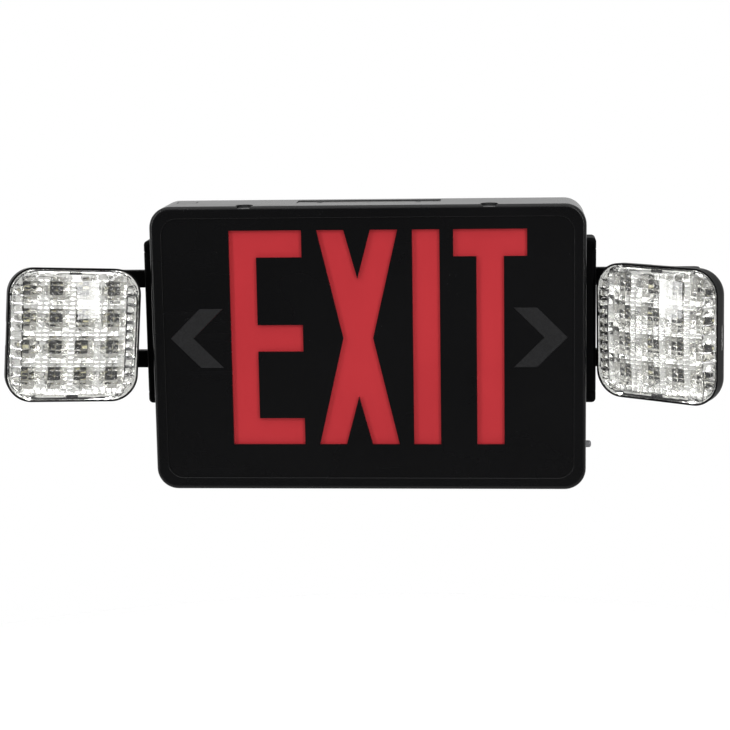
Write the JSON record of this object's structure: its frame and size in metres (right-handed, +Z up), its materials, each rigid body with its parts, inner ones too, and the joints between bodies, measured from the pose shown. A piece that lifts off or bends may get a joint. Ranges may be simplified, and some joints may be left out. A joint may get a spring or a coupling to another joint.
{
  "type": "emergency exit light",
  "caption": "Wall-mounted stencil-face exit sign housing with knock-out chevrons, backup battery and a swivelling square LED lamp head on a fork bracket at each side.",
  "frame": {"origin": "in the wall plane at the middle of the sign housing's back", "axes": "+Y into the wall, +X to the right as a viewer faces the sign, +Z up"},
  "size_m": [0.4975, 0.0884, 0.202],
  "materials": {
    "housing_black": "semi-gloss moulded black ABS",
    "chevron_black": "fine textured black ABS",
    "diffuser_red": "translucent red acrylic, satin",
    "light_box_white": "white moulded tray",
    "board_green": "solder-masked circuit board",
    "board_white": "white solder-masked LED board",
    "led_red": "red LED chip",
    "led_white": "white LED chip with yellow phosphor",
    "steel_zinc": "zinc-plated steel",
    "transformer_iron": "varnished laminations",
    "terminal_green": "terminal block moulding",
    "battery_wrap": "shrink sleeve",
    "button_grey": "grey push button",
    "switch_black": "switch moulding",
    "spring_steel": "spring wire",
    "pilot_clear": "indicator lamp",
    "bracket_black": "moulded black ABS",
    "head_black": "moulded black ABS",
    "lens_clear": "clear ribbed polycarbonate",
    "chrome_reflector": "vacuum-metallised reflector"
  },
  "bodies": {
    "housing": {"back_box": "housing_black", "front_cover": "housing_black", "diffuser_panel": "diffuser_red", "light_box": "light_box_white", "legend_strips": "board_white", "legend_leds": "led_red", "charger_board": "board_green", "board_screws": "steel_zinc", "transformer": "transformer_iron", "terminal_block": "terminal_green", "battery_pack": "battery_wrap", "battery_strap": "steel_zinc", "test_switch": "switch_black", "switch_board": "board_green", "button_spring": "spring_steel", "pilot_lamp": "pilot_clear", "left_chevron": "chevron_black", "right_chevron": "chevron_black", "left_bracket": "bracket_black", "left_bracket_screws": "steel_zinc", "right_bracket": "bracket_black", "right_bracket_screws": "steel_zinc"},
    "left_swivel": {"left_swivel": "bracket_black", "left_tilt_pin": "steel_zinc"},
    "left_knuckle": {"left_knuckle": "bracket_black", "left_stem_nut": "steel_zinc"},
    "left_head": {"left_casing": "head_black", "left_lens": "lens_clear", "left_reflector": "chrome_reflector", "left_led_board": "board_white", "left_leds": "led_white"},
    "right_swivel": {"right_swivel": "bracket_black", "right_tilt_pin": "steel_zinc"},
    "right_knuckle": {"right_knuckle": "bracket_black", "right_stem_nut": "steel_zinc"},
    "right_head": {"right_casing": "head_black", "right_lens": "lens_clear", "right_reflector": "chrome_reflector", "right_led_board": "board_white", "right_leds": "led_white"},
    "test_button": {"test_button": "button_grey"}
  },
  "joints": [
    {"name": "left_pan", "type": "hinge", "parent": "housing", "child": "left_swivel", "pos_m": [-0.2245, -0.0235, 0.0168], "axis": [0, 0, 1], "range_deg": [-86, 8]},
    {"name": "left_tilt", "type": "hinge", "parent": "left_swivel", "child": "left_knuckle", "pos_m": [-0.2245, -0.0235, 0.0168], "axis": [0.8988, 0.4384, 0], "range_deg": [-11, 11]},
    {"name": "left_turn", "type": "hinge", "parent": "left_knuckle", "child": "left_head", "pos_m": [-0.2245, -0.0235, 0.0168], "axis": [-0.4384, 0.8988, 0], "range_deg": [-9, 0.2]},
    {"name": "right_pan", "type": "hinge", "parent": "housing", "child": "right_swivel", "pos_m": [0.2245, -0.0235, 0.0168], "axis": [0, 0, -1], "range_deg": [-93.5, 0.5]},
    {"name": "right_tilt", "type": "hinge", "parent": "right_swivel", "child": "right_knuckle", "pos_m": [0.2245, -0.0235, 0.0168], "axis": [0.8339, -0.5519, 0], "range_deg": [-12.4, 9.6]},
    {"name": "right_turn", "type": "hinge", "parent": "right_knuckle", "child": "right_head", "pos_m": [0.2245, -0.0235, 0.0168], "axis": [0.5518, 0.8336, 0.0244], "range_deg": [-4.6, 4.6]},
    {"name": "test_button_press", "type": "slide", "parent": "housing", "child": "test_button", "axis": [-1, 0, 0], "range_m": [0, 0.0016], "stiffness_N_per_m": 600, "springref_m": -0.002, "deforming": ["button_spring"]}
  ]
}
